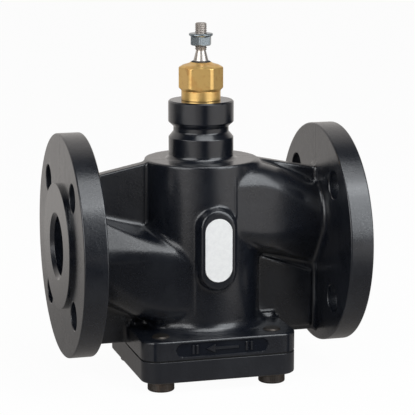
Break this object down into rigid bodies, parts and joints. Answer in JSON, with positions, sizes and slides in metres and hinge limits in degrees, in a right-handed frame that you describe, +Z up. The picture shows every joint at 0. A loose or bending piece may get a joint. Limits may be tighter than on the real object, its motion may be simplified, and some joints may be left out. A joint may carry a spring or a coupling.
{
  "type": "flanged globe valve",
  "caption": "Flanged globe valve with a cast body, a bolted bottom cover, a brass packing gland, and a stem that lifts a pressure-balanced plug off its seat.",
  "frame": {"origin": "on the stem axis, in the plane of the cover screws' heads that the valve stands on", "axes": "+Z up the stem, +X along the pipe towards the inlet flange, +Y away from the name plate"},
  "size_m": [0.2, 0.15, 0.239],
  "materials": {
    "body_paint": "satin blue-black paint over the cast skin",
    "cover_paint": "satin blue-black paint over the cast skin",
    "screw_steel": "dull oiled steel",
    "gland_brass": "turned brass, lightly polished",
    "bush_bronze": "turned bronze",
    "stem_steel": "ground stainless steel",
    "zinc_plate": "bright zinc plating",
    "trim_steel": "turned stainless steel",
    "cone_brass": "turned brass",
    "spring_steel": "bright spring steel",
    "plate_grey": "satin pale grey plate",
    "black_rubber": "moulded black rubber",
    "white_ptfe": "white filled seal plastic",
    "gasket_fibre": "dark pressed gasket sheet"
  },
  "bodies": {
    "valve": {"valve_body": "body_paint", "bottom_cover": "cover_paint", "cover_gasket": "gasket_fibre", "cover_screws": "screw_steel", "name_plate": "plate_grey", "gland_housing": "gland_brass", "gland_o_ring": "black_rubber", "stem_wiper": "black_rubber", "gland_bush": "white_ptfe", "packing_rings": "white_ptfe", "packing_follower": "bush_bronze", "packing_spring": "spring_steel", "spring_washer": "spring_steel", "retaining_ring": "spring_steel", "neck_bush": "bush_bronze", "seat_ring": "trim_steel", "seat_gasket": "gasket_fibre", "balance_cage": "trim_steel", "cage_gasket": "gasket_fibre"},
    "stem_and_plug": {"stem": "stem_steel", "balanced_plug": "trim_steel", "plug_seal": "white_ptfe", "throttling_cone": "cone_brass", "plug_washer": "zinc_plate", "plug_nut": "zinc_plate", "piston_ring": "white_ptfe", "ring_energiser": "black_rubber"},
    "nut": {"lock_nut": "zinc_plate"}
  },
  "joints": [
    {"name": "stem_lift", "type": "slide", "parent": "valve", "child": "stem_and_plug", "axis": [0, 0, 1], "range_m": [0, 0.02]},
    {"name": "lock_nut_run", "type": "slide", "parent": "stem_and_plug", "child": "nut", "axis": [0, 0, 1], "range_m": [-0.0035, 0.006]}
  ]
}
